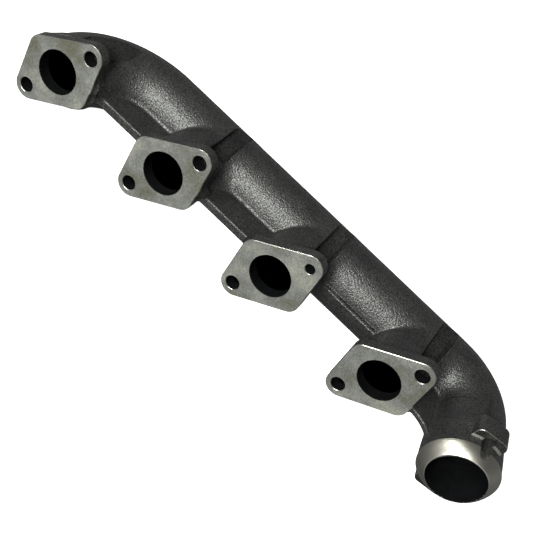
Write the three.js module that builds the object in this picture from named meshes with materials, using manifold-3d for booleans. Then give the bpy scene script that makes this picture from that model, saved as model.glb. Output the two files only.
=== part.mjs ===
// Log-type exhaust manifold for one bank of a four-port head, cast in one piece in iron.
// The casting is described region by region, each region a closed solid in its own node.
// Millimetres. X runs along the row of ports, Y from the head face into the manifold, Z up.
// The origin is the middle of the row of port centres, on the head face.
import * as THREE from 'three';
import * as BufferGeometryUtils from 'three/addons/utils/BufferGeometryUtils.js';
import Module from 'manifold-3d';

const wasm = await Module();
wasm.setup();

// ---- driving dimensions ----
const PORTS = 4;
const PITCH = 118;
const GAP = 0.3;                       // clearance left where one region is cut by the next
const BIG = 400;                       // reach of a cutting block

const FLANGE_T = 11.5;                 // port flange thickness
const BOSS_T = 5;                      // boss behind the lower bolt hole
const BOSS_R = 10.5;
const PORT_R = 18;                     // port bore
const EAR_X = 18.4;                    // ear of a port flange, mirrored through the port centre
const EAR_Z = 31.6;
const EAR_R = 11.6;
const CORNER_X = 21.2;                 // blunt corner of a port flange, mirrored the same way
const CORNER_Z = 5.3;
const CORNER_R = 12;
const BOLT_X = 19.2;
const BOLT_Z = 31.7;
const BOLT_R = 6.2;
const DOWEL_R = 4.3;                   // the close-fitting upper hole of the third port

const NECK_MAJOR = 30;                 // oval neck behind each flange, long way along the bolt line
const NECK_MINOR = 23.3;
const NECK_TURN = Math.atan2(BOLT_Z, BOLT_X);

const LOG_Y = 69;                      // axis of the collecting tube
const LOG_Z = 1.5;
const LOG_R = 30.5;
const WALL = 6;
const CAVITY_R = LOG_R - WALL;

const BEND_X = -108.5;                 // where the tube starts to turn down into the first port
const BEND_R = 64;
const BEND_CUT_Y = 30;                 // plane between the first neck and the bend
const BEND_STEP_Y = 19;                // shoulder where the first port opens into the bend

const ELBOW_X = 215.5;                 // where the tube starts to turn towards the outlet
const ELBOW_R = 42.5;
const OUTLET_TILT = THREE.MathUtils.degToRad(10);
const OUTLET_LENGTH = 58.7;            // from the end of the elbow to the rim
const OUTLET_R = 30.5;
const SEAT_LENGTH = 10;
const SEAT_BALL_R = 37.4;              // ball the seat is turned to, centred on the outlet axis
const SEAT_LIP_R = 24.6;
const OUTLET_BORE_R = 23.7;
const EAR_FRONT = 17;                  // outlet ears, measured back from the rim
const EAR_BACK = 35.7;
const RING_R = 32.3;
const TAB_HALF = 14.1;
const TAB_TOP = 42;
const TAB_CORNER = 6;
const STUD_RADIUS_AT = 33.7;           // outlet bolt holes, from the outlet axis
const STUD_R = 5;

const WEB_HALF = 4.1;                  // tie webs, either side of the mould's parting plane
const GUSSET_LOW = -1.5;
const GUSSET_HIGH = 3.7;
const RIB_HALF = 1.8;                  // parting rib between the third and fourth ports
const RIB_OUT = 1.4;

const RELIEF_HALF = 8;                 // wrench relief behind each flange bolt
const RELIEF_FLOOR = 20.2;             // height of the level part of its floor, over the port centre
const RELIEF_SLOPE = Math.atan(0.298);
const RELIEF_Y = 41;                   // where the floor starts to rise towards the back

const ROUND = 40;                      // facets round a tube
const BORE_ROUND = 28;
const HOLE_ROUND = 16;
const NECK_ROUND = 44;
const BEND_STEPS = 12;
const ELBOW_STEPS = 10;

const portX = (i) => (i - (PORTS - 1) / 2) * PITCH;

// ---- materials ----
function iron(color, roughness, metalness) {
  return new THREE.MeshStandardMaterial({ color, roughness, metalness });
}
const castSkin = iron(0x4b4d4f, 0.62, 0.55);
const portFace = iron(0x9d9d92, 0.45, 0.7);
const turnedSeat = iron(0xa8a79c, 0.3, 0.85);

// ---- solids ----
function solid(geometry) {
  const bare = geometry.clone();
  bare.deleteAttribute('normal');
  bare.deleteAttribute('uv');
  const welded = BufferGeometryUtils.mergeVertices(bare, 1e-4);
  return new wasm.Manifold(new wasm.Mesh({
    numProp: 3,
    vertProperties: new Float32Array(welded.attributes.position.array),
    triVerts: new Uint32Array(welded.index.array),
  }));
}

function toGeometry(body) {
  const mesh = body.getMesh();
  const geometry = new THREE.BufferGeometry();
  geometry.setAttribute('position', new THREE.BufferAttribute(mesh.vertProperties, 3));
  geometry.setIndex(new THREE.BufferAttribute(mesh.triVerts, 1));
  geometry.computeVertexNormals();
  return geometry;
}

function block(x0, x1, y0, y1, z0, z1) {
  const box = new THREE.BoxGeometry(x1 - x0, y1 - y0, z1 - z0);
  return solid(box.translate((x0 + x1) / 2, (y0 + y1) / 2, (z0 + z1) / 2));
}

// round bar along Y
function barY(r, y0, y1, x = 0, z = 0, facets = BORE_ROUND) {
  const bar = new THREE.CylinderGeometry(r, r, y1 - y0, facets);
  return solid(bar.translate(x, (y0 + y1) / 2, z));
}

// round bar along X on the log axis
function barX(r, x0, x1, facets = ROUND) {
  const bar = new THREE.CylinderGeometry(r, r, x1 - x0, facets);
  return solid(bar.rotateZ(Math.PI / 2).translate((x0 + x1) / 2, LOG_Y, LOG_Z));
}

// outline in X and Z, thickened along +Y from y0 to y1
function slabY(shape, y0, y1, curveSegments = 5) {
  const slab = new THREE.ExtrudeGeometry(shape, { depth: y1 - y0, bevelEnabled: false, curveSegments });
  return solid(slab.rotateX(Math.PI / 2).translate(0, y1, 0));
}

// outline in X and Y, thickened along +Z from z0 to z1
function slabZ(shape, z0, z1, curveSegments = 8) {
  const slab = new THREE.ExtrudeGeometry(shape, { depth: z1 - z0, bevelEnabled: false, curveSegments });
  return solid(slab.translate(0, 0, z0));
}

// round bar swept along a quarter-turn or part of one, in the plane of the log
class Bend extends THREE.Curve {
  constructor(x, radius, angle, side) {
    super();
    Object.assign(this, { x, radius, angle, side });
  }

  getPoint(t, target = new THREE.Vector3()) {
    const turned = t * this.angle;
    const along = this.side * this.radius * Math.sin(turned);
    return target.set(this.x + along, LOG_Y - this.radius * (1 - Math.cos(turned)), LOG_Z);
  }

  getTangent(t, target = new THREE.Vector3()) {
    const turned = t * this.angle;
    return target.set(this.side * Math.cos(turned), -Math.sin(turned), 0);
  }
}

function sweep(path, r, steps, facets = ROUND) {
  const section = new THREE.Shape().absarc(0, 0, r, 0, 2 * Math.PI);
  const settings = { extrudePath: path, steps, bevelEnabled: false, curveSegments: facets / 2 };
  return solid(new THREE.ExtrudeGeometry(section, settings));
}

// closed outline wrapped round a counterclockwise chain of circles
function wrapped(circles) {
  const count = circles.length;
  const leaving = circles.map((c, i) => {
    const next = circles[(i + 1) % count];
    const dx = next.x - c.x;
    const dz = next.z - c.z;
    return Math.atan2(dz, dx) - Math.acos((c.r - next.r) / Math.hypot(dx, dz));
  });
  const shape = new THREE.Shape();
  circles.forEach((c, i) => {
    const arriving = leaving[(i + count - 1) % count];
    shape.absarc(c.x, c.z, c.r, arriving, leaving[i], false);
  });
  shape.closePath();
  return shape;
}

function ear(side, grow = 0) {
  return { x: side * EAR_X, z: side * EAR_Z, r: EAR_R + grow };
}

function corner(side, grow = 0) {
  return { x: side * CORNER_X, z: -side * CORNER_Z, r: CORNER_R + grow };
}

function flangeOutline() {
  return wrapped([corner(1), ear(1), corner(-1), ear(-1)]);
}

function neckOutline(grow = 0) {
  const oval = new THREE.Shape();
  oval.absellipse(0, 0, NECK_MAJOR + grow, NECK_MINOR + grow, 0, 2 * Math.PI, false, NECK_TURN);
  return oval;
}

// channel that lets a wrench reach a flange bolt: its floor is level behind the flange, then rises
function relief(side, widen = 0, deepen = 0) {
  const half = RELIEF_HALF + widen;
  const floor = RELIEF_FLOOR - deepen;
  const rising = new THREE.BoxGeometry(2 * half, 2 * BIG, BIG);
  rising.translate(0, 0, BIG / 2).rotateX(RELIEF_SLOPE).translate(BOLT_X, RELIEF_Y, floor);
  const start = side > 0 ? FLANGE_T : FLANGE_T + BOSS_T;
  const level = block(BOLT_X - BIG, BOLT_X + BIG, start, BIG, floor, BIG);
  const upper = solid(rising).intersect(level);
  return side > 0 ? upper : upper.rotate([0, 180, 0]);
}

// both channels of one port, cut into the neck and the tube behind it
function reliefs(x, widen = 0, deepen = 0) {
  return relief(1, widen, deepen).add(relief(-1, widen, deepen)).translate([x, 0, 0]);
}

// ---- regions ----
const root = new THREE.Group();

function place(parent, name, body, material, x = 0) {
  const mesh = new THREE.Mesh(toGeometry(body), material);
  mesh.name = name;
  mesh.position.x = x;
  parent.add(mesh);
}

const bendPath = new Bend(BEND_X, BEND_R, Math.PI / 2, -1);

// flange with a boss behind its lower bolt, kept clear of the neck
function portFlange(upperHoleR) {
  const boss = barY(BOSS_R, FLANGE_T - 1, FLANGE_T + BOSS_T, -BOLT_X, -BOLT_Z)
    .subtract(slabY(neckOutline(GAP), FLANGE_T, LOG_Y, NECK_ROUND / 2))
    .subtract(sweep(bendPath, LOG_R + GAP, BEND_STEPS).translate([-portX(0), 0, 0]));
  return slabY(flangeOutline(), 0, FLANGE_T)
    .add(boss)
    .subtract(barY(PORT_R, -1, FLANGE_T + 1))
    .subtract(barY(BOLT_R, -1, FLANGE_T + BOSS_T + 1, -BOLT_X, -BOLT_Z, HOLE_ROUND))
    .subtract(barY(upperHoleR, -1, FLANGE_T + 1, BOLT_X, BOLT_Z, HOLE_ROUND));
}

function portNeck() {
  return slabY(neckOutline(), FLANGE_T, LOG_Y, NECK_ROUND / 2)
    .subtract(barX(LOG_R + GAP, -PITCH, PITCH))
    .subtract(barY(PORT_R, 0, LOG_Y))
    .subtract(reliefs(0));
}

// hollow of the straight tube, held back from the wrench reliefs so the wall stays whole
function cavity(x0, x1) {
  let hollow = barX(CAVITY_R, x0, x1, BORE_ROUND);
  for (let i = 1; i < PORTS; i += 1) {
    hollow = hollow.subtract(reliefs(portX(i), WALL - 1, WALL - 1));
  }
  return hollow;
}

function logSection(x0, x1, port) {
  return barX(LOG_R, x0, x1)
    .subtract(cavity(x0 - 1, x1 + 1))
    .subtract(barY(PORT_R, 0, LOG_Y, portX(port)))
    .subtract(reliefs(portX(port)));
}

const bendHollow = sweep(bendPath, CAVITY_R, BEND_STEPS, BORE_ROUND)
  .add(barX(CAVITY_R, BEND_X - 1, BEND_X + 1, BORE_ROUND))
  .subtract(block(-BIG, BIG, -BIG, BEND_STEP_Y, -BIG, BIG))
  .add(barY(PORT_R, 0, LOG_Y / 2, portX(0)));

function bentTube() {
  return sweep(bendPath, LOG_R, BEND_STEPS)
    .subtract(bendHollow)
    .subtract(reliefs(portX(0)));
}

function firstNeck() {
  return bentTube()
    .subtract(block(-BIG, BIG, -BIG, FLANGE_T, -BIG, BIG))
    .subtract(block(-BIG, BIG, BEND_CUT_Y, BIG, -BIG, BIG));
}

function endBend() {
  return bentTube().subtract(block(-BIG, BIG, -BIG, BEND_CUT_Y, -BIG, BIG));
}

const elbowPath = new Bend(ELBOW_X, ELBOW_R, Math.PI / 2 - OUTLET_TILT, 1);
const outletFoot = elbowPath.getPoint(1);

function outletElbow() {
  const hollow = sweep(elbowPath, CAVITY_R, ELBOW_STEPS, BORE_ROUND);
  return sweep(elbowPath, LOG_R, ELBOW_STEPS).subtract(hollow);
}

// plate on the parting plane between two necks, running back to the tube
function tieWeb(left) {
  const right = left + 1;
  const plate = block(portX(left), portX(right), FLANGE_T, LOG_Y, -WEB_HALF, WEB_HALF);
  const behind = left === 0 ? sweep(bendPath, LOG_R + GAP, BEND_STEPS) : neckAt(left);
  return plate
    .subtract(barX(LOG_R + GAP, -BIG, BIG))
    .subtract(behind)
    .subtract(neckAt(right));
}

function neckAt(port) {
  return slabY(neckOutline(GAP), 0, LOG_Y, NECK_ROUND / 2).translate([portX(port), 0, 0]);
}

// pair of fine ribs left by the mould halves, in the gap that has no web
function partingRib() {
  const front = LOG_Y - LOG_R;
  const low = LOG_Z - RIB_HALF;
  const rib = block(portX(2), portX(3), front - RIB_OUT, front + RIB_OUT, low, LOG_Z + RIB_HALF);
  return rib
    .subtract(barX(LOG_R + GAP, -BIG, BIG))
    .subtract(neckAt(2))
    .subtract(neckAt(3));
}

// gusset on the parting plane, from the fourth flange round the inside of the elbow
function outletGusset() {
  const start = portX(3) + 20;
  const outline = new THREE.Shape();
  outline.moveTo(start, FLANGE_T);
  outline.lineTo(start + 20, 1.5);
  outline.quadraticCurveTo(start + 34, 0, start + 37.5, -11);
  outline.lineTo(start + 60, -11);
  outline.lineTo(start + 60, LOG_Y);
  outline.lineTo(start, LOG_Y);
  outline.closePath();
  const turned = (r, y0, y1) => barY(r, y0, y1, 0, 0, ROUND)
    .rotate([0, 0, THREE.MathUtils.radToDeg(OUTLET_TILT)])
    .translate([outletFoot.x, outletFoot.y, outletFoot.z]);
  return slabZ(outline, GUSSET_LOW, GUSSET_HIGH)
    .subtract(slabY(wrapped([corner(1, GAP), ear(1, GAP), corner(-1, GAP), ear(-1, GAP)]), -BIG, FLANGE_T)
      .translate([portX(3), 0, 0]))
    .subtract(barX(LOG_R + GAP, -BIG, ELBOW_X + 1))
    .subtract(sweep(elbowPath, LOG_R + GAP, ELBOW_STEPS))
    .subtract(turned(OUTLET_R + GAP, -BIG, 1))
    .subtract(turned(RING_R + GAP, -BIG, -OUTLET_LENGTH + EAR_BACK + GAP))
    .subtract(neckAt(3));
}

// ---- outlet, in its own frame: foot at the end of the elbow, gas leaving along -Y ----
const rimY = -OUTLET_LENGTH;

function outletPipe() {
  const y0 = rimY + EAR_BACK;
  return barY(OUTLET_R, y0, -GAP, 0, 0, ROUND).subtract(barY(CAVITY_R, y0 - 1, 1));
}

function studHoles(y0, y1) {
  const hole = (z) => barY(STUD_R, y0, y1, 0, z, HOLE_ROUND);
  return hole(STUD_RADIUS_AT).add(hole(-STUD_RADIUS_AT));
}

function outletEars() {
  const inner = { x: TAB_HALF - TAB_CORNER, z: TAB_TOP - TAB_CORNER, r: TAB_CORNER };
  const tab = wrapped([1, 2, 3, 4].map((quarter) => ({
    x: (quarter === 1 || quarter === 4 ? 1 : -1) * inner.x,
    z: (quarter < 3 ? 1 : -1) * inner.z,
    r: inner.r,
  })));
  const back = rimY + EAR_BACK - GAP;
  return barY(RING_R, rimY + SEAT_LENGTH + GAP, back, 0, 0, ROUND)
    .add(slabY(tab, rimY + EAR_FRONT, back))
    .subtract(barY(OUTLET_BORE_R, -BIG, BIG))
    .subtract(studHoles(-BIG, BIG));
}

// ball seat the down-pipe flare is drawn up against
function outletSeat() {
  const profile = [new THREE.Vector2(OUTLET_BORE_R, rimY)];
  const centre = Math.sqrt(SEAT_BALL_R ** 2 - SEAT_LIP_R ** 2);
  const steps = 6;
  for (let i = 0; i <= steps; i += 1) {
    const back = (SEAT_LENGTH * i) / steps;
    profile.push(new THREE.Vector2(Math.sqrt(SEAT_BALL_R ** 2 - (centre - back) ** 2), rimY + back));
  }
  profile.push(new THREE.Vector2(OUTLET_BORE_R, rimY + SEAT_LENGTH), profile[0].clone());
  return solid(new THREE.LatheGeometry(profile, ROUND)).subtract(studHoles(-BIG, BIG));
}

// ---- assembly ----
for (let i = 0; i < PORTS; i += 1) {
  const body = portFlange(i === 2 ? DOWEL_R : BOLT_R);
  place(root, `port_flange_${i + 1}`, body, portFace, portX(i));
}
place(root, 'port_neck_1', firstNeck(), castSkin);
for (let i = 1; i < PORTS; i += 1) place(root, `port_neck_${i + 1}`, portNeck(), castSkin, portX(i));

const splits = [BEND_X, 0, PITCH, ELBOW_X];
place(root, 'log_end_bend', endBend(), castSkin);
for (let i = 1; i < PORTS; i += 1) {
  place(root, `log_section_${i + 1}`, logSection(splits[i - 1], splits[i], i), castSkin);
}
place(root, 'outlet_elbow', outletElbow(), castSkin);

place(root, 'tie_web_1_2', tieWeb(0), castSkin);
place(root, 'tie_web_2_3', tieWeb(1), castSkin);
place(root, 'parting_rib_3_4', partingRib(), castSkin);
place(root, 'outlet_gusset', outletGusset(), castSkin);

const outlet = new THREE.Group();
outlet.position.copy(outletFoot);
outlet.rotation.z = OUTLET_TILT;
root.add(outlet);
place(outlet, 'outlet_pipe', outletPipe(), castSkin);
place(outlet, 'outlet_ear_flange', outletEars(), castSkin);
place(outlet, 'outlet_ball_seat', outletSeat(), turnedSeat);

export default root;
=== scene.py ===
"""Cast-iron log exhaust manifold: the fine surface of each region of the casting, its finish, and a
studio set. The casting is one distance field in millimetres, meshed region by region and cut on the
same planes as the solids; everything is scaled to metres when the mesh is made."""
import math

import bmesh
import bpy
import numpy as np
from mathutils import Matrix, Vector


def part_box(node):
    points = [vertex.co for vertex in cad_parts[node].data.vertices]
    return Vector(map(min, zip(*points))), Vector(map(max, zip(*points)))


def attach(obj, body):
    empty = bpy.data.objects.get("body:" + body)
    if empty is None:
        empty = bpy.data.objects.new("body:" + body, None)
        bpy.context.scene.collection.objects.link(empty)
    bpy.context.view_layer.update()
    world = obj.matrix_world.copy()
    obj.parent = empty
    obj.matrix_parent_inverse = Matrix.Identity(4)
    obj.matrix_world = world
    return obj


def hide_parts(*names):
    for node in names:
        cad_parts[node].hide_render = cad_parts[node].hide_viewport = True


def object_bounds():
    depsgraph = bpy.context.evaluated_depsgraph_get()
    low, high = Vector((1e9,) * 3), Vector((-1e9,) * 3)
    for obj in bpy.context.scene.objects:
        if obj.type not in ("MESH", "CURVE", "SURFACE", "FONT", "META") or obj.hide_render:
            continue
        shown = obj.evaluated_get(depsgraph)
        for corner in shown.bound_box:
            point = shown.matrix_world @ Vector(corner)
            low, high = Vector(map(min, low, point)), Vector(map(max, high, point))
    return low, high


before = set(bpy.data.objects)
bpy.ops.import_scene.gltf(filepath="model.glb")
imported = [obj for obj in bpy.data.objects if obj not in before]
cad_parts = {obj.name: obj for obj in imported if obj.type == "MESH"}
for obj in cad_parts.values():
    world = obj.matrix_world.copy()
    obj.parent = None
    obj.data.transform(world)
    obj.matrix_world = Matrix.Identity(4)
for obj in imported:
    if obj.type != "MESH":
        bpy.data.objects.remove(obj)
cad_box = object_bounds()

MM = 0.001
PITCH = 0.9     # lattice of the cast surface
FINE = 0.5      # lattice of the turned and small parts
MARGIN = 3                             # lattice cells kept round a region before it is cut
HELD = 1.6                             # points this many cells from the lattice's end stay put
ROUNDS = 3                             # steps that draw the lattice onto the surface
SLOPE_STEP = 0.06                      # half the distance over which a field's slope is taken
FAR = 1e9                              # a distance beyond everything


# ---- dimensions, millimetres ----
def centre_of(node):
    low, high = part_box(node)
    return [(a + b) / 2 / MM for a, b in zip(low, high)]


PORT_X = [centre_of(f"port_flange_{i}")[0] for i in (1, 2, 3, 4)]
FLANGE_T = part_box("port_neck_2")[0][1] / MM
BOSS_BACK = FLANGE_T + 5               # boss behind each lower bolt hole
BOSS_R = 10.4
BURIED = 4                             # how far a piece runs back into the flange it joins
FACE_CHAMFER = 0.5
PORT_R = 18.1
RIM_BAND = 2                           # the chamfer this near the port's rim gets the port's near-black painted shade
# corners of a port flange's outline from its centre: x, z, radius
CORNERS = ((18.4, 31.6, 11.6), (-21.2, 5.3, 12.0), (-18.4, -31.6, 11.6), (21.2, -5.3, 12.0))
BOLT_X = 19.2                          # upper bolt hole from the port's centre; the lower is opposite
BOLT_Z = 31.7
BOLT_R = 6.2
DOWEL_R = 4.3                          # upper hole of the third flange, which locates it

NECK_MAJOR = 30.0                      # half axes of a neck's oval, which points at the bolt holes
NECK_MINOR = 23.0
NECK_TURN = math.atan2(BOLT_Z, BOLT_X)
NECK_FILLET = (2, 16, 2, 26)           # blend with the tube, how much it grows, and where along x it does
FLANGE_FILLET = 5

LOG_LOW, LOG_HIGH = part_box("log_section_3")
LOG_Y = (LOG_LOW[1] + LOG_HIGH[1]) / 2 / MM
LOG_Z = (LOG_LOW[2] + LOG_HIGH[2]) / 2 / MM
LOG_R = 30.4
CAVITY_R = 24.5
LOG_FRONT = LOG_Y - LOG_R

BEND_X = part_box("log_section_2")[0][0] / MM
BEND_R = 64.0
BEND_Y = LOG_Y - BEND_R
BEND_CUT_Y = 30.0                      # plane between the first neck and the bend
ELBOW_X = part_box("log_section_4")[1][0] / MM
ELBOW_R = 42.5
ELBOW_Y = LOG_Y - ELBOW_R
TILT = math.radians(10)
FOOT_X = ELBOW_X + ELBOW_R * math.cos(TILT)
FOOT_Y = ELBOW_Y + ELBOW_R * math.sin(TILT)

# the outlet is set out in its own frame: its foot at 0, the gas leaving along -v
RIM = -58.7
SEAT_BACK = RIM + 10
SEAT_BALL_R = 37.4
SEAT_LIP_R = 24.6
SEAT_CENTRE = RIM + math.sqrt(SEAT_BALL_R ** 2 - SEAT_LIP_R ** 2)
OUTLET_BORE_R = 23.7
RING_R = 32.2
RING_LAP = 5                           # the ring starts this far inside the seat's node
EAR_FRONT = RIM + 17
EAR_BACK = RIM + 35.7
EAR_CUT = EAR_BACK + 3                 # plane between the pipe and the ears, just behind their backs
BORE_TAPER = 5                         # length over which the passage narrows to the outlet's bore
EAR_FILLET = (0.5, 11)                 # blend at the ears' front, and how much it grows to their back
FACING_R = 35.4
FACING = EAR_FRONT + 0.8
TAB_HALF = 14.0                        # the outlet's two ears, above and below
TAB_TOP = 41.8
TAB_CORNER = 6.0
STUD_AT = 33.7
STUD_R = 5.0

WEB_LOW = -3.2
WEB_HIGH = 4.8
WEB_FRONT = 10.0                       # the webs' front edge, in Y
WEB_FILLET = (3, 12)                   # blend with the tube, and how much it grows on the swollen stretch
SWELL_X = (10, 24, 34, 52)             # the swollen stretch after each port: starts, full, fades, gone
SWELL_Z = (0, 8)
GUSSET_LOW = -1.5
GUSSET_HIGH = 3.7
GUSSET_FRONT = 0.4                     # its front edge, in Y
GUSSET_CURVE = 26                      # how gently its flank turns into the pipe's side
GUSSET_X = 200                         # its left end, inside the fourth port's strip

RIB_HEIGHTS = (0.4, 4.4)               # fine parting ribs on the tube between the last two ports
RIB_HALF = 0.5
RIB_OUT = 0.8

RELIEF_HALF = 8.0                      # wrench channels: half width
RELIEF_FLOOR = 20.2                    # floor's height from the port's centre, flat as far as RELIEF_Y
RELIEF_RISE = 0.298                    # and its slope from there on
RELIEF_Y = 41.0
RELIEF_BEND_Y = 17.0                   # the same at the first port, where the tube bends
RELIEF_CROWN = 1.3                     # the channel's floor rises by this much towards its walls
CORNER_DEPTH = 1.3                     # and dips along their foot
CORNER_WIDTH = 1.1
FIRST_FLOOR = 24.5                     # upper channel of the first port, shallow behind its flange
FIRST_RISE = 0.165
FIRST_SLANT = 0.2                      # its floor climbs towards -X,
FIRST_SHIFT = 4                        # and its middle lies this far that way
PASSAGE_SKIN = 5                       # metal kept between a channel and the gas
FIRST_PASSAGE_Y = 19                   # where the first port's bore opens into the bend


# ---- distance fields: negative inside the metal ----
def join(a, b, k):
    """Union of two fields with a blend about k wide; both and cut take the same width."""
    near = np.maximum(k - np.abs(a - b), 0) / k
    return np.minimum(a, b) - near * near * k / 4


def cut(a, b, k):
    """a without b, the edge softened over k."""
    return -join(-a, b, k)


def both(a, b, k):
    return -join(-a, -b, k)


def ramp(v, low, high):
    t = np.clip((v - low) / (high - low), 0, 1)
    return t * t * (3 - 2 * t)


def outline(u, v, corners):
    """Distance to a convex outline wrapped round circles, given anticlockwise as (u, v, radius)."""
    inside = np.ones(np.broadcast(u, v).shape, bool)
    outer = np.full(inside.shape, FAR)
    inner = np.full(inside.shape, -FAR)
    for (au, av, ar), (bu, bv, br) in zip(corners, corners[1:] + corners[:1]):
        du, dv = bu - au, bv - av
        t = np.clip(((u - au) * du + (v - av) * dv) / (du * du + dv * dv), 0, 1)
        away = np.hypot(u - au - t * du, v - av - t * dv)
        radius = ar + (br - ar) * t
        inside &= du * (v - av) - dv * (u - au) > 0
        outer = np.minimum(outer, away - radius)
        inner = np.maximum(inner, -away - radius)
    return np.where(inside, inner, outer)


def oval(u, v, major, minor, turn):
    """Near its surface, the distance to an ellipse turned anticlockwise by turn."""
    p = u * math.cos(turn) + v * math.sin(turn)
    q = v * math.cos(turn) - u * math.sin(turn)
    f = np.sqrt((p / major) ** 2 + (q / minor) ** 2) + 1e-6
    slope = np.sqrt((p / major ** 2) ** 2 + (q / minor ** 2) ** 2) / f + 1e-9
    return (f - 1) / slope


def outlet_frame(x, y):
    """Across and along the outlet, from its foot at the end of the elbow."""
    dx, dy = x - FOOT_X, y - FOOT_Y
    return dx * math.cos(TILT) + dy * math.sin(TILT), dy * math.cos(TILT) - dx * math.sin(TILT)


def axis_distance(x, y, z):
    """Distance to the tube's centre line: first port, bend, straight, elbow, outlet."""
    up = z - LOG_Z
    straight = np.hypot(y - LOG_Y, up)
    bend = np.hypot(np.hypot(x - BEND_X, y - BEND_Y) - BEND_R, up)
    drop = np.hypot(x - BEND_X + BEND_R, up)
    elbow = np.hypot(np.hypot(x - ELBOW_X, y - ELBOW_Y) - ELBOW_R, up)
    u, v = outlet_frame(x, y)
    pipe = np.hypot(u, up)
    far = np.where(y > BEND_Y, bend, drop)
    near = np.where(v > 0, elbow, pipe)
    return np.where(x < BEND_X, far, np.where(x > ELBOW_X, near, straight))


def relief(x, y, z, port):
    """Channels that let a wrench reach the flange bolts, above and below."""
    found = FAR
    for side in (1, -1):
        across = side * (x - PORT_X[port]) - BOLT_X
        height = side * z
        wide = np.abs(across) - RELIEF_HALF
        start = RELIEF_BEND_Y if port == 0 else RELIEF_Y
        floor = RELIEF_FLOOR + np.maximum(y - start, 0) * RELIEF_RISE
        floor = floor + RELIEF_CROWN * (across / RELIEF_HALF) ** 2
        corner = (np.abs(across) - RELIEF_HALF + 1) / CORNER_WIDTH
        floor = floor - CORNER_DEPTH * np.exp(-corner ** 2)
        if port == 0 and side == 1:
            slant = FIRST_SLANT * np.maximum(-across - 2, 0)
            floor = FIRST_FLOOR + FIRST_RISE * (y - FLANGE_T) + slant
            wide = np.abs(across + FIRST_SHIFT) - 2 * RELIEF_HALF
        channel = np.maximum(wide, floor - height)
        back = FLANGE_T if side == 1 else BOSS_BACK
        found = np.minimum(found, np.maximum(channel, back - y))
    return found


def flange(x, y, z, port):
    u = x - PORT_X[port]
    plate = both(outline(u, z, list(CORNERS)), y - FLANGE_T, 2.5)
    boss = both(np.hypot(u + BOLT_X, z + BOLT_Z) - BOSS_R, y - BOSS_BACK, 1.5)
    return join(plate, np.maximum(boss, FLANGE_T - BURIED - y), 1)


def bolt_holes(x, y, z, port):
    u = x - PORT_X[port]
    upper = np.hypot(u - BOLT_X, z - BOLT_Z) - (DOWEL_R if port == 2 else BOLT_R)
    lower = np.hypot(u + BOLT_X, z + BOLT_Z) - BOLT_R
    return np.maximum(np.minimum(upper, lower), y - BOSS_BACK - 2)


def slab(x, y, z, x0, x1, y0, z0, z1):
    """Plate on the parting plane that runs back into the tube."""
    sides = np.maximum(np.maximum(x0 - x, x - x1), np.maximum(y0 - y, y - LOG_Y))
    return both(np.maximum(z0 - z, z - z1), sides, 1.5)


def gusset(x, y, z):
    u, _ = outlet_frame(x, y)
    flank = join(GUSSET_FRONT - y, np.abs(u) - LOG_R, GUSSET_CURVE)
    plan = np.maximum(np.maximum(flank, GUSSET_X - x), np.maximum(u, y - LOG_Y))
    return both(np.maximum(GUSSET_LOW - z, z - GUSSET_HIGH), plan, 1.5)


def ear_outline(u, up):
    inner_u, inner_z = TAB_HALF - TAB_CORNER, TAB_TOP - TAB_CORNER
    corners = [(inner_u, inner_z), (-inner_u, inner_z), (-inner_u, -inner_z), (inner_u, -inner_z)]
    return outline(u, up, [(a, b, TAB_CORNER) for a, b in corners])


def outlet_body(x, y, z):
    """The two-ear flange, and the round body that carries it and flares towards the seat."""
    u, v = outlet_frame(x, y)
    up = z - LOG_Z
    flare = RING_R - (RING_R - LOG_R) * ramp(v, EAR_FRONT, 0)
    radius = np.hypot(u, up)
    ring = both(radius - flare, SEAT_BACK - RING_LAP - v, 0.6)
    ring = np.maximum(ring, v)
    ears = both(both(ear_outline(u, up), EAR_FRONT - v, 1.2), v - EAR_BACK, 3)
    facing = np.maximum(radius - FACING_R, v - FACING)
    return cut(ears, facing, 0.3), ring


def studs(x, y, z):
    """Holes for the two studs, which also bite into the ring between the ears."""
    u, _ = outlet_frame(x, y)
    return np.hypot(u, np.abs(z - LOG_Z) - STUD_AT) - STUD_R


def seat(x, y, z):
    """Turned ball seat in front of the outlet's ears."""
    u, v = outlet_frame(x, y)
    radius = np.hypot(u, z - LOG_Z)
    ball = np.hypot(radius, v - SEAT_CENTRE) - SEAT_BALL_R
    body = both(ball, RIM - v, 0.5)
    body = cut(body, radius - OUTLET_BORE_R, 0.6)
    return cut(body, studs(x, y, z), 0.4)


def passage(x, y, z, ports):
    """The gas passage: the tube's bore, narrower at the outlet, and the ports that open into it."""
    hollow = axis_distance(x, y, z) - CAVITY_R
    for port in ports:
        hollow = np.maximum(hollow, PASSAGE_SKIN - relief(x, y, z, port))
    u, v = outlet_frame(x, y)
    narrow = np.hypot(u, z - LOG_Z) - OUTLET_BORE_R
    past = ramp(v, EAR_CUT, EAR_CUT + BORE_TAPER)
    hollow = np.where(x > ELBOW_X, narrow + (hollow - narrow) * past, hollow)
    for port in ports:
        bore = np.maximum(np.hypot(x - PORT_X[port], z) - PORT_R, y - LOG_Y)
        if port == 0:
            hollow = both(hollow, FIRST_PASSAGE_Y - y, 3)
        hollow = join(hollow, bore, 2)
    return hollow


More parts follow.
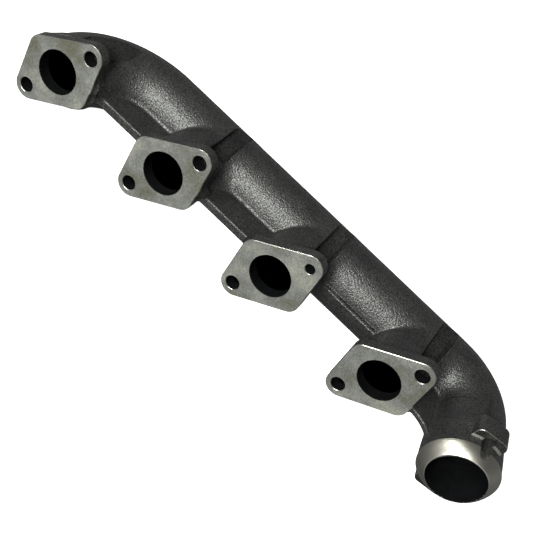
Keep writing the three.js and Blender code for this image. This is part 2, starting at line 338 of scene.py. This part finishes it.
def casting(x, y, z, ports):
    """The whole casting near the given ports."""
    metal = axis_distance(x, y, z) - LOG_R
    metal = np.maximum(metal, EAR_FRONT - outlet_frame(x, y)[1])
    if 0 in ports:
        metal = np.maximum(metal, FLANGE_T - BURIED - y)
    for port in ports:
        u = x - PORT_X[port]
        if port > 0:
            neck = oval(u, z, NECK_MAJOR, NECK_MINOR, NECK_TURN)
            neck = np.maximum(np.maximum(neck, y - LOG_Y), FLANGE_T - BURIED - y)
            least, more, start, end = NECK_FILLET
            metal = join(metal, neck, least + more * ramp(u, start, end))
        metal = join(metal, flange(x, y, z, port), FLANGE_FILLET)
    for left in (0, 1):
        web = slab(x, y, z, PORT_X[left], PORT_X[left + 1], WEB_FRONT, WEB_LOW, WEB_HIGH)
        if left in ports or left + 1 in ports:
            after = x - PORT_X[left]
            starts, full, fades, gone = SWELL_X
            swell = ramp(after, starts, full) * (1 - ramp(after, fades, gone)) * ramp(z, *SWELL_Z)
            metal = join(metal, web, WEB_FILLET[0] + WEB_FILLET[1] * swell)
    if 2 in ports or 3 in ports:
        between = np.maximum(PORT_X[2] - x, x - PORT_X[3])
        raised = np.maximum(axis_distance(x, y, z) - LOG_R - RIB_OUT, np.maximum(y - LOG_Y, between))
        for height in RIB_HEIGHTS:
            metal = join(metal, np.maximum(raised, np.abs(z - height) - RIB_HALF), 0.5)
    if 3 in ports:
        metal = join(metal, gusset(x, y, z), 3)
        ears, ring = outlet_body(x, y, z)
        behind = ramp(outlet_frame(x, y)[1], EAR_FRONT, EAR_BACK)
        metal = join(metal, ring, 2.5)
        metal = join(metal, ears, EAR_FILLET[0] + EAR_FILLET[1] * behind)
    for port in ports:
        metal = cut(metal, relief(x, y, z, port), 0.9)
    metal = cut(metal, passage(x, y, z, ports), 0.8)
    for port in ports:
        metal = cut(metal, bolt_holes(x, y, z, port), 0.3)
    if 3 in ports:
        metal = np.maximum(metal, -studs(x, y, z))
    return metal


# ---- meshing ----
def lattice_surface(values, origin, pitch):
    """Quads through the cells where the field changes sign."""
    shape = np.array(values.shape)
    inside = values < 0
    total = np.zeros((*(shape - 1), 3), np.float32)
    count = np.zeros(shape - 1, np.float32)
    crossings = []
    for axis in range(3):
        low = [slice(None)] * 3
        high = [slice(None)] * 3
        low[axis], high[axis] = slice(None, -1), slice(1, None)
        a, b = values[tuple(low)], values[tuple(high)]
        crossed = inside[tuple(low)] != inside[tuple(high)]
        t = np.where(crossed, a / np.where(crossed, a - b, 1), 0)
        crossings.append(crossed)
        u, v = [k for k in range(3) if k != axis]
        for du in (0, 1):
            for dv in (0, 1):
                part = [slice(None)] * 3
                part[u] = slice(du, du + shape[u] - 1)
                part[v] = slice(dv, dv + shape[v] - 1)
                hit = crossed[tuple(part)]
                total[..., axis] += t[tuple(part)]
                total[..., u] += du * hit
                total[..., v] += dv * hit
                count += hit
    active = count > 0
    index = np.full(shape - 1, -1, np.int64)
    index[active] = np.arange(active.sum())
    points = np.argwhere(active) + total[active] / count[active][:, None]
    quads = []
    for axis in range(3):
        u, v = (axis + 1) % 3, (axis + 2) % 3
        at = np.argwhere(crossings[axis])
        at = at[(at[:, u] > 0) & (at[:, v] > 0) & (at[:, u] < shape[u] - 1) & (at[:, v] < shape[v] - 1)]
        ring = []
        for du, dv in ((-1, -1), (0, -1), (0, 0), (-1, 0)):
            cell = at.copy()
            cell[:, u] += du
            cell[:, v] += dv
            ring.append(index[tuple(cell.T)])
        ring = np.stack(ring, 1)
        out = inside[tuple(at.T)]
        quads.append(np.where(out[:, None], ring, ring[:, ::-1]))
    return origin + points * pitch, np.concatenate(quads)


def gradient(field, points):
    """Unit slope of the field at each point, which is the surface's normal there."""
    slopes = []
    for axis in range(3):
        ahead, behind = points.copy(), points.copy()
        ahead[:, axis] += SLOPE_STEP
        behind[:, axis] -= SLOPE_STEP
        slopes.append(field(*ahead.T) - field(*behind.T))
    slope = np.stack(slopes, 1)
    return slope / np.maximum(np.linalg.norm(slope, axis=1, keepdims=True), 1e-9)


def mesh_field(field, low, high, pitch):
    """Closed quad mesh of the field inside a box, drawn onto the true surface."""
    first = np.floor(np.array(low) / pitch) - MARGIN
    last = np.ceil(np.array(high) / pitch) + MARGIN
    axes = [np.arange(a, b + 1) * pitch for a, b in zip(first, last)]
    values = field(*np.meshgrid(*axes, indexing="ij", sparse=True)).astype(np.float32)
    values = np.array(np.broadcast_to(values, [len(a) for a in axes]))
    for axis in range(3):
        for end in (0, -1):
            side = [slice(None)] * 3
            side[axis] = end
            values[tuple(side)] = np.maximum(values[tuple(side)], pitch)
    points, quads = lattice_surface(values, first * pitch, pitch)
    points = points.astype(np.float64)
    held = np.any((points < (first + HELD) * pitch) | (points > (last - HELD) * pitch), axis=1)
    for _ in range(ROUNDS):
        step = field(*points.T)[:, None] * gradient(field, points)
        step = np.clip(step, -0.5 * pitch, 0.5 * pitch)
        points = np.where(held[:, None], points, points - step)
    return points, quads


CAST, INSIDE, FACE, EDGE, RELIEF = range(5)    # finishes, in the order of a piece's materials; INSIDE is near-black painted shade, RELIEF a smoother skin darkened as painted shade


def bmesh_of(points, quads):
    """The same mesh as a bmesh, ready to be cut."""
    mesh = bpy.data.meshes.new("lattice")
    mesh.vertices.add(len(points))
    mesh.vertices.foreach_set("co", points.astype(np.float32).ravel())
    mesh.loops.add(quads.size)
    mesh.loops.foreach_set("vertex_index", quads.astype(np.int32).ravel())
    mesh.polygons.add(len(quads))
    mesh.polygons.foreach_set("loop_start", np.arange(0, quads.size, 4, dtype=np.int32))
    mesh.update(calc_edges=True)
    bm = bmesh.new()
    bm.from_mesh(mesh)
    bpy.data.meshes.remove(mesh)
    return bm


def slice_off(bm, point, normal, capped):
    """Cuts away what lies beyond a plane and closes the cut."""
    geom = bm.verts[:] + bm.edges[:] + bm.faces[:]
    out = bmesh.ops.bisect_plane(bm, geom=geom, dist=1e-5, plane_co=point, plane_no=normal,
                                 clear_outer=True)
    rim = [e for e in out["geom_cut"] if isinstance(e, bmesh.types.BMEdge)]
    if not rim:
        return
    filled = bmesh.ops.triangle_fill(bm, edges=rim, use_beauty=False, normal=normal)
    for face in filled["geom"]:
        if isinstance(face, bmesh.types.BMFace):
            face[capped] = 1
            face.material_index = CAST


def machine_face(bm, field, capped, bore_x):
    """Mills the port face at Y = 0 and breaks its edges with a small chamfer."""
    geom = bm.verts[:] + bm.edges[:] + bm.faces[:]
    out = bmesh.ops.bisect_plane(bm, geom=geom, dist=1e-5, plane_co=(0, FACE_CHAMFER, 0),
                                 plane_no=(0, -1, 0), clear_outer=True)
    rim = [e for e in out["geom_cut"] if isinstance(e, bmesh.types.BMEdge)]
    grown = bmesh.ops.extrude_edge_only(bm, edges=rim)["geom"]
    verts = [v for v in grown if isinstance(v, bmesh.types.BMVert)]
    slope = gradient(field, np.array([v.co for v in verts], np.float64))
    for vert, (gx, _, gz) in zip(verts, slope):
        size = math.hypot(gx, gz) or 1
        vert.co.x -= FACE_CHAMFER * gx / size
        vert.co.z -= FACE_CHAMFER * gz / size
        vert.co.y = 0
    for face in grown:
        if isinstance(face, bmesh.types.BMFace):
            face[capped] = 1
            at = face.calc_center_median()
            # the chamfer round the port's rim gets the near-black painted shade of the port
            bore = math.hypot(at.x - bore_x, at.z) < PORT_R + RIM_BAND
            face.material_index = INSIDE if bore else EDGE
    edges = [e for e in grown if isinstance(e, bmesh.types.BMEdge)]
    new = set(verts)
    edges = [e for e in edges if e.verts[0] in new and e.verts[1] in new]
    filled = bmesh.ops.triangle_fill(bm, edges=edges, use_beauty=False)
    for face in filled["geom"]:
        if isinstance(face, bmesh.types.BMFace):
            face[capped] = 1
            face.material_index = FACE


def build(node, field, low, high, planes, paint, pitch=PITCH, bore_x=None):
    """Meshes one region of the casting and puts it in place of its solid."""
    points, quads = mesh_field(field, low, high, pitch)
    bm = bmesh_of(points, quads)
    capped = bm.faces.layers.int.new("capped")
    for point, normal in planes:
        slice_off(bm, point, normal, capped)
    if bore_x is not None:
        machine_face(bm, field, capped, bore_x)
    bmesh.ops.recalc_face_normals(bm, faces=bm.faces[:])
    bm.normal_update()
    bm.verts.index_update()
    co = np.array([v.co for v in bm.verts], np.float64)
    smooth = gradient(field, co)
    normals = []
    for face in bm.faces:
        flat = face[capped]
        face.smooth = True
        if not flat:
            face.material_index = paint(face.calc_center_median())
        for vert in face.verts:
            normals.append(tuple(face.normal) if flat else tuple(smooth[vert.index]))
    mesh = bpy.data.meshes.new(node + "_skin")
    bmesh.ops.scale(bm, vec=(MM, MM, MM), verts=bm.verts[:])
    bm.to_mesh(mesh)
    bm.free()
    mesh.normals_split_custom_set(normals)
    piece = bpy.data.objects.new(node + "_skin", mesh)
    bpy.context.collection.objects.link(piece)
    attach(piece, "root")
    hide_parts(node)
    return piece


# ---- which finish a patch of skin has ----
WALL_SKIN = 1.0                        # a patch this near a surface belongs to it: passage walls,
BOLT_SKIN = 0.3                        # bolt holes,
PORT_SKIN = 0.5                        # ports,
RELIEF_SKIN = 0.35                     # wrench channels,
OUTLET_SKIN = 0.4                      # the outlet's bore and ring,
FACING_SKIN = 0.3                      # and the facing cut into the ears
EAR_EDGE = 0.7                         # bright rim of the ears' front
EAR_FACE = (EAR_FRONT - 0.2, EAR_FRONT + 0.8)


def paint_ports(ports):
    def choose(at):
        # INSIDE is near-black painted shade on the passage, the ports and the bolt holes
        if axis_distance(at.x, at.y, at.z) < CAVITY_R + WALL_SKIN:
            return INSIDE
        for port in ports:
            u = at.x - PORT_X[port]
            if at.y < BOSS_BACK + WALL_SKIN:
                for side in (1, -1):
                    if math.hypot(u - side * BOLT_X, at.z - side * BOLT_Z) < BOLT_R + BOLT_SKIN:
                        return INSIDE
            bore_end = LOG_Y if port else BEND_CUT_Y
            if at.y < bore_end and math.hypot(u, at.z) < PORT_R + PORT_SKIN:
                return INSIDE
            # RELIEF is the smoother channel skin, its colour darkened as painted shade
            if at.y > FLANGE_T + PORT_SKIN and abs(relief(at.x, at.y, at.z, port)) < RELIEF_SKIN:
                return RELIEF
        return CAST
    return choose


def paint_outlet(at):
    u, v = outlet_frame(at.x, at.y)
    radius = math.hypot(u, at.z - LOG_Z)
    # the outlet's bore and passage get the near-black painted shade
    if radius < OUTLET_BORE_R + OUTLET_SKIN:
        return INSIDE
    if v > SEAT_BACK and radius < CAVITY_R + WALL_SKIN:
        return INSIDE
    if abs(v - FACING) < FACING_SKIN and RING_R + OUTLET_SKIN < radius < FACING_R + 0.2:
        return FACE
    # the ears' fronts get the darker channel skin as painted shade, their rim the bright bare-metal edge
    if EAR_FACE[0] < v < EAR_FACE[1] and radius > FACING_R:
        return EDGE if ear_outline(u, at.z - LOG_Z) > -EAR_EDGE else RELIEF
    return CAST


# ---- materials: noise scales are per metre, bump depths are metres ----
def material(name, rough, metal):
    mat = bpy.data.materials.new(name)
    mat.use_nodes = True
    shader = mat.node_tree.nodes["Principled BSDF"]
    shader.inputs["Metallic"].default_value = metal
    shader.inputs["Roughness"].default_value = rough
    return mat, mat.node_tree, shader


def noise(tree, scale, detail=4.0, rough=0.6, stretch=None):
    where = tree.nodes.new("ShaderNodeTexCoord")
    out = where.outputs["Object"]
    if stretch:
        mapping = tree.nodes.new("ShaderNodeMapping")
        mapping.inputs["Scale"].default_value = stretch
        tree.links.new(out, mapping.inputs["Vector"])
        out = mapping.outputs["Vector"]
    node = tree.nodes.new("ShaderNodeTexNoise")
    node.inputs["Scale"].default_value = scale
    node.inputs["Detail"].default_value = detail
    node.inputs["Roughness"].default_value = rough
    tree.links.new(out, node.inputs["Vector"])
    return node.outputs["Fac"]


def graded(tree, fac, stops):
    """Colour ramp over fac; a stop is (place, grey) or (place, colour)."""
    node = tree.nodes.new("ShaderNodeValToRGB")
    band = node.color_ramp
    while len(band.elements) < len(stops):
        band.elements.new(0.5)
    for element, (at, colour) in zip(band.elements, stops):
        element.position = at
        element.color = (*colour, 1) if isinstance(colour, tuple) else (colour, colour, colour, 1)
    tree.links.new(fac, node.inputs["Fac"])
    return node.outputs["Color"]


def blend(tree, mode, fac, a, b):
    node = tree.nodes.new("ShaderNodeMix")
    node.data_type = "RGBA"
    node.blend_type = mode
    node.inputs[0].default_value = fac
    tree.links.new(a, node.inputs[6])
    tree.links.new(b, node.inputs[7])
    return node.outputs[2]


def bumped(tree, shader, layers):
    """Bumps laid over each other, coarse first, as (height, strength, depth)."""
    normal = None
    for height, strength, depth in layers:
        node = tree.nodes.new("ShaderNodeBump")
        node.inputs["Strength"].default_value = strength
        node.inputs["Distance"].default_value = depth
        tree.links.new(height, node.inputs["Height"])
        if normal:
            tree.links.new(normal, node.inputs["Normal"])
        normal = node.outputs["Normal"]
    tree.links.new(normal, shader.inputs["Normal"])


def cast_iron(name="cast_skin", painted_shade_factor=1.0, grit=1.0):
    """Raw skin of a sand casting: mottled, grainy and pitted; a shade factor below 1 darkens its colour
    as painted shade.
    """
    mat, tree, shader = material(name, 0.5, 0.0)
    mottle = noise(tree, 55, 5, 0.65)
    dark = tuple(c * painted_shade_factor for c in (0.012, 0.0125, 0.0132))
    light = tuple(c * painted_shade_factor for c in (0.028, 0.0278, 0.0262))
    colour = graded(tree, mottle, [(0.3, dark), (0.72, light)])
    grain = noise(tree, 760, 2, 0.45)
    speck = graded(tree, grain, [(0.35, 0.3), (0.65, 1.6)])
    colour = blend(tree, "MULTIPLY", 1.0, colour, speck)
    tree.links.new(colour, shader.inputs["Base Color"])
    rough = graded(tree, grain, [(0.35, 0.5), (0.65, 0.4)])
    tree.links.new(rough, shader.inputs["Roughness"])
    pits = graded(tree, noise(tree, 1050, 2, 0.5), [(0.36, 0.2 * grit), (0.52, grit)])
    tree.links.new(pits, shader.inputs["Specular IOR Level"])
    waves = noise(tree, 130, 3, 0.5)
    bumped(tree, shader, [(waves, 1.0, 0.0003 * grit), (grain, 1.0, 0.00058 * grit)])
    return mat


def milled_iron():
    """Port faces: milled, then stained in storage."""
    mat, tree, shader = material("machined_face", 0.42, 0.5)
    blotch = noise(tree, 26, 5, 0.62)
    stops = [(0.36, (0.145, 0.14, 0.108)), (0.5, (0.225, 0.23, 0.22)), (0.64, (0.36, 0.355, 0.315))]
    colour = graded(tree, blotch, stops)
    fine = noise(tree, 520, 3, 0.6)
    colour = blend(tree, "MULTIPLY", 1.0, colour, graded(tree, fine, [(0.3, 0.68), (0.7, 1.28)]))
    tree.links.new(colour, shader.inputs["Base Color"])
    rough = graded(tree, blotch, [(0.3, 0.5), (0.7, 0.36)])
    tree.links.new(rough, shader.inputs["Roughness"])
    marks = noise(tree, 260, 2, 0.5, (6, 1, 0.6))
    bumped(tree, shader, [(marks, 0.3, 0.0004), (fine, 0.4, 0.0003)])
    return mat


def cut_edge():
    """Bare metal of the small chamfers."""
    mat, tree, shader = material("cut_edge", 0.3, 0.9)
    fine = noise(tree, 500, 3, 0.6)
    colour = graded(tree, fine, [(0.3, (0.2, 0.198, 0.185)), (0.7, (0.42, 0.415, 0.395))])
    tree.links.new(colour, shader.inputs["Base Color"])
    bumped(tree, shader, [(fine, 0.2, 0.0003)])
    return mat


GROOVES_ROUND = 30                     # per metre round the seat, so a groove hardly changes there
GROOVES_ALONG = 5000                   # per metre along the axis


def turned_iron():
    """Ball seat: fine grooves round the outlet's axis, which give it a streaked sheen."""
    mat, tree, shader = material("turned_seat", 0.32, 0.95)
    blotch = noise(tree, 60, 4, 0.6)
    colour = graded(tree, blotch, [(0.3, (0.37, 0.355, 0.31)), (0.7, (0.46, 0.45, 0.415))])
    tree.links.new(colour, shader.inputs["Base Color"])
    where = tree.nodes.new("ShaderNodeTexCoord")
    along = tree.nodes.new("ShaderNodeMapping")
    along.vector_type = "TEXTURE"
    along.inputs["Rotation"].default_value = (0, 0, TILT)
    along.inputs["Scale"].default_value = (1 / GROOVES_ROUND, 1 / GROOVES_ALONG, 1 / GROOVES_ROUND)
    tree.links.new(where.outputs["Object"], along.inputs["Vector"])
    grooves = tree.nodes.new("ShaderNodeTexNoise")
    grooves.inputs["Scale"].default_value = 1
    grooves.inputs["Detail"].default_value = 2
    tree.links.new(along.outputs["Vector"], grooves.inputs["Vector"])
    bumped(tree, shader, [(grooves.outputs["Fac"], 1.0, 0.00004)])
    shader.inputs["Anisotropic"].default_value = 0.75
    around = tree.nodes.new("ShaderNodeTangent")
    around.axis = "Y"
    tree.links.new(around.outputs["Tangent"], shader.inputs["Tangent"])
    return mat


def hollow_painted_shade():
    """Dull, near-black painted shade on the walls of the gas passage, also used in the bolt holes."""
    mat, tree, shader = material("hollow_painted_shade", 0.75, 0.0)
    mottle = noise(tree, 90, 4, 0.6)
    colour = graded(tree, mottle, [(0.3, (0.0025, 0.0026, 0.0031)), (0.7, (0.005, 0.0053, 0.006))])
    shader.inputs["Specular IOR Level"].default_value = 0.06
    tree.links.new(colour, shader.inputs["Base Color"])
    grain = noise(tree, 800, 3, 0.6)
    bumped(tree, shader, [(grain, 0.5, 0.0006)])
    return mat


skin = cast_iron()
# smoother, less pitted skin of the cored wrench channels, its colour darkened to 0.8 as painted shade; it
# also darkens the ears' fronts as painted shade
cored_shaded_skin = cast_iron("cored_skin_painted_shade", 0.8, 0.5)
# near-black painted shade for the gas passage, the ports and the bolt holes
inner = hollow_painted_shade()
face = milled_iron()
edge = cut_edge()
bright = turned_iron()


def finish(piece, mats=(skin, inner, face, edge, cored_shaded_skin)):
    """Gives a piece its materials in the order CAST, INSIDE, FACE, EDGE, RELIEF."""
    for mat in mats:
        piece.data.materials.append(mat)


# ---- regions ----
SIDE = 33.4                            # half width of the strip of casting that belongs to one port
NECK_BACK = LOG_FRONT - 0.1
BEND_SIDE_X = -141.4                   # where the bend's inner flank meets the first flange
GUSSET_SIDE = 32.4                     # plane between the outlet and the gusset, across the outlet's axis
DEPTH = LOG_R + 4                      # half height of the box that the tube is meshed in
TALL = 46                              # the same for the flanges,
WEB_TALL = 20                          # the webs and the gusset,
RIB_TALL = 35                          # the rib,
EAR_TALL = 48                          # and the upper ear


def out_x(x, side=1):
    return (x, 0, 0), (side, 0, 0)


def out_y(y, side=1):
    return (0, y, 0), (0, side, 0)


def through(a, b):
    """Vertical plane through two plan points; what lies right of a to b is cut away."""
    return (*a, 0), (b[1] - a[1], a[0] - b[0], 0)


def flip(plane):
    point, normal = plane
    return point, tuple(-n for n in normal)


def from_outlet(u, v):
    return (FOOT_X + u * math.cos(TILT) - v * math.sin(TILT),
            FOOT_Y + u * math.sin(TILT) + v * math.cos(TILT))


BEND_CHORD = through((BEND_SIDE_X, FLANGE_T), (BEND_X, NECK_BACK))
ELBOW_CHORD = through((ELBOW_X, NECK_BACK), from_outlet(-GUSSET_SIDE, 0))
OUT_U = (math.cos(TILT), math.sin(TILT), 0)
OUT_V = (-math.sin(TILT), math.cos(TILT), 0)


def beyond_v(v, side):
    return (*from_outlet(0, v), 0), tuple(side * c for c in OUT_V)


def left_of_outlet(side):
    return (*from_outlet(-GUSSET_SIDE, 0), 0), tuple(side * c for c in OUT_U)


def for_ports(ports):
    return lambda x, y, z: casting(x, y, z, ports)


def flanges():
    for port, x in enumerate(PORT_X):
        planes = [out_y(FLANGE_T)]
        right = BEND_SIDE_X if port == 0 else x + SIDE
        planes += [out_x(right), out_x(x - SIDE - 2, -1)]
        piece = build(f"port_flange_{port + 1}", for_ports([port]), (x - SIDE - 3, -2, -TALL),
                      (right, FLANGE_T, TALL), planes, paint_ports([port]), bore_x=x)
        finish(piece)


def necks():
    x = PORT_X[0]
    planes = [out_y(FLANGE_T, -1), out_y(BEND_CUT_Y), BEND_CHORD]
    piece = build("port_neck_1", for_ports([0]), (x - 40, FLANGE_T, -TALL),
                  (BEND_X, BEND_CUT_Y, TALL), planes, paint_ports([0]))
    finish(piece)
    for port in (1, 2, 3):
        x = PORT_X[port]
        planes = [out_y(FLANGE_T, -1), out_y(NECK_BACK), out_x(x - SIDE, -1), out_x(x + SIDE)]
        piece = build(f"port_neck_{port + 1}", for_ports([port]), (x - SIDE, FLANGE_T, -TALL),
                      (x + SIDE, NECK_BACK, TALL), planes, paint_ports([port]))
        finish(piece)


def log():
    planes = [out_y(BEND_CUT_Y, -1), out_x(BEND_X), BEND_CHORD]
    low_x = BEND_X - BEND_R - LOG_R - 2
    piece = build("log_end_bend", for_ports([0]), (low_x, BEND_CUT_Y, LOG_Z - DEPTH),
                  (BEND_X, LOG_Y + DEPTH, LOG_Z + DEPTH), planes, paint_ports([0]))
    finish(piece)
    ends = [BEND_X, (PORT_X[1] + PORT_X[2]) / 2, (PORT_X[2] + PORT_X[3]) / 2, ELBOW_X]
    for port in (1, 2, 3):
        x0, x1 = ends[port - 1], ends[port]
        planes = [out_x(x0, -1), out_x(x1), out_y(NECK_BACK, -1)]
        piece = build(f"log_section_{port + 1}", for_ports([port]), (x0, NECK_BACK, LOG_Z - DEPTH),
                      (x1, LOG_Y + DEPTH, LOG_Z + DEPTH), planes, paint_ports([port]))
        finish(piece)


def webs():
    planes = [out_x(BEND_SIDE_X, -1), out_x(PORT_X[1] - SIDE), out_y(NECK_BACK), flip(BEND_CHORD)]
    piece = build("tie_web_1_2", for_ports([0, 1]), (BEND_SIDE_X, WEB_FRONT, -WEB_TALL),
                  (PORT_X[1] - SIDE, NECK_BACK, WEB_TALL), planes, paint_ports([0, 1]))
    finish(piece)
    for left, node in ((1, "tie_web_2_3"), (2, "parting_rib_3_4")):
        x0, x1 = PORT_X[left] + SIDE, PORT_X[left + 1] - SIDE
        planes = [out_x(x0, -1), out_x(x1), out_y(NECK_BACK)]
        pair = [left, left + 1]
        piece = build(node, for_ports(pair), (x0, 0, -RIB_TALL), (x1, NECK_BACK, RIB_TALL), planes,
                      paint_ports(pair))
        finish(piece)
    x0 = PORT_X[3] + SIDE
    planes = [out_x(x0, -1), out_y(NECK_BACK), left_of_outlet(1), flip(ELBOW_CHORD)]
    x1, y0 = from_outlet(-GUSSET_SIDE, RIM)
    piece = build("outlet_gusset", for_ports([3]), (x0, y0, -WEB_TALL), (x1, NECK_BACK, WEB_TALL),
                  planes, paint_ports([3]))
    finish(piece)


def outlet():
    planes = [out_x(ELBOW_X, -1), beyond_v(0, -1), ELBOW_CHORD]
    high_x = FOOT_X + LOG_R + 4
    piece = build("outlet_elbow", for_ports([3]), (ELBOW_X, FOOT_Y - 8, LOG_Z - DEPTH),
                  (high_x, LOG_Y + DEPTH, LOG_Z + DEPTH), planes, paint_ports([3]))
    finish(piece)
    planes = [beyond_v(0, 1), beyond_v(EAR_CUT, -1), left_of_outlet(-1)]
    y0 = from_outlet(-GUSSET_SIDE, EAR_CUT)[1]
    piece = build("outlet_pipe", for_ports([3]), (FOOT_X - 34, y0 - 2, -TALL),
                  (high_x + 8, FOOT_Y + 8, EAR_TALL), planes, paint_outlet)
    finish(piece)
    planes = [beyond_v(EAR_CUT, 1), beyond_v(SEAT_BACK, -1), left_of_outlet(-1)]
    y1 = from_outlet(GUSSET_SIDE, EAR_CUT)[1]
    y0 = from_outlet(-36, SEAT_BACK)[1]
    piece = build("outlet_ear_flange", for_ports([3]), (FOOT_X - 30, y0, -TALL),
                  (FOOT_X + 46, y1 + 1, EAR_TALL), planes, paint_outlet, FINE)
    finish(piece)
    y0 = from_outlet(-GUSSET_SIDE, RIM)[1]
    y1 = from_outlet(GUSSET_SIDE, SEAT_BACK)[1]
    piece = build("outlet_ball_seat", seat, (FOOT_X - 30, y0 - 1, LOG_Z - 35),
                  (FOOT_X + 46, y1 + 1, LOG_Z + 35), [beyond_v(SEAT_BACK, 1)], paint_outlet, FINE)
    finish(piece, (bright, inner, bright, bright, bright))


flanges()
necks()
log()
webs()
outlet()


# ---- camera, floor and light ----
CAMERA_AT = Vector((0.0830, -0.5402, 0.4269))
CAMERA_RIGHT = Vector((0.7210, 0.4520, 0.5251))
CAMERA_DOWN = Vector((0.6914, -0.4197, -0.5881))
SENSOR = 36                            # width in millimetres
FOCAL_PER_WIDTH = 1.639
# name, degrees round from straight in front of the port faces, degrees up, distance, size, power
LAMPS = (("key", -9, 30, 1.6, 0.55, 39), ("side", -42, 32, 1.4, 0.35, 9))
LAMP_COLOUR = (0.98, 1.0, 0.945)
FOCUS = Vector((0.03, 0.03, 0.0))      # what the lamps point at
FLOOR_HALF = 40.0
FLOOR_GAP = 0.0005
# height, from straight down at 0 to straight up at 1, and how bright the studio's walls are there
SKY = ((0.0, 0.1), (0.45, 0.2), (0.55, 0.42), (0.7, 0.1))


def camera():
    right = CAMERA_RIGHT.normalized()
    forward = right.cross(CAMERA_DOWN).normalized()
    up = right.cross(forward)
    data = bpy.data.cameras.new("camera")
    data.sensor_width = SENSOR
    data.lens = FOCAL_PER_WIDTH * SENSOR
    data.clip_start = 0.01
    cam = bpy.data.objects.new("camera", data)
    axes = Matrix((right, up, -forward)).transposed()
    cam.matrix_world = Matrix.Translation(CAMERA_AT) @ axes.to_4x4()
    bpy.context.collection.objects.link(cam)
    bpy.context.scene.camera = cam


def area_light(name, azimuth, elevation, distance, size, power):
    data = bpy.data.lights.new(name, "AREA")
    data.shape = "DISK"
    data.size = size
    data.energy = power
    data.color = LAMP_COLOUR
    lamp = bpy.data.objects.new(name, data)
    turn, rise = math.radians(azimuth), math.radians(elevation)
    flat = math.cos(rise)
    way = Vector((math.sin(turn) * flat, -math.cos(turn) * flat, math.sin(rise)))
    to_world = way.to_track_quat("Z", "Y").to_matrix().to_4x4()
    lamp.matrix_world = Matrix.Translation(FOCUS + way * distance) @ to_world
    bpy.context.collection.objects.link(lamp)


def paper_floor():
    """Evenly lit white paper, which takes no shadow and throws no light on the casting."""
    mesh = bpy.data.meshes.new("floor")
    half, z = FLOOR_HALF, cad_box[0][2] - FLOOR_GAP
    corners = [(-half, -half, z), (half, -half, z), (half, half, z), (-half, half, z)]
    mesh.from_pydata(corners, [], [(0, 1, 2, 3)])
    floor = bpy.data.objects.new("floor", mesh)
    bpy.context.collection.objects.link(floor)
    mat, _, shader = material("floor_paper", 0.9, 0.0)
    shader.inputs["Base Color"].default_value = (0.9, 0.9, 0.9, 1)
    shader.inputs["Emission Color"].default_value = (1, 1, 1, 1)
    shader.inputs["Emission Strength"].default_value = 1.0
    mesh.materials.append(mat)
    floor.visible_diffuse = False
    floor.visible_glossy = False


def studio_walls():
    world = bpy.data.worlds.new("studio")
    bpy.context.scene.world = world
    world.use_nodes = True
    tree = world.node_tree
    back = tree.nodes["Background"]
    where = tree.nodes.new("ShaderNodeTexCoord")
    split = tree.nodes.new("ShaderNodeSeparateXYZ")
    tree.links.new(where.outputs["Generated"], split.inputs["Vector"])
    height = tree.nodes.new("ShaderNodeMapRange")
    height.inputs["From Min"].default_value = -1
    tree.links.new(split.outputs["Z"], height.inputs["Value"])
    tree.links.new(graded(tree, height.outputs["Result"], SKY), back.inputs["Color"])
    back.inputs["Strength"].default_value = 1.0


camera()
paper_floor()
studio_walls()
for lamp in LAMPS:
    area_light(*lamp)
bpy.context.scene.view_settings.view_transform = "Standard"
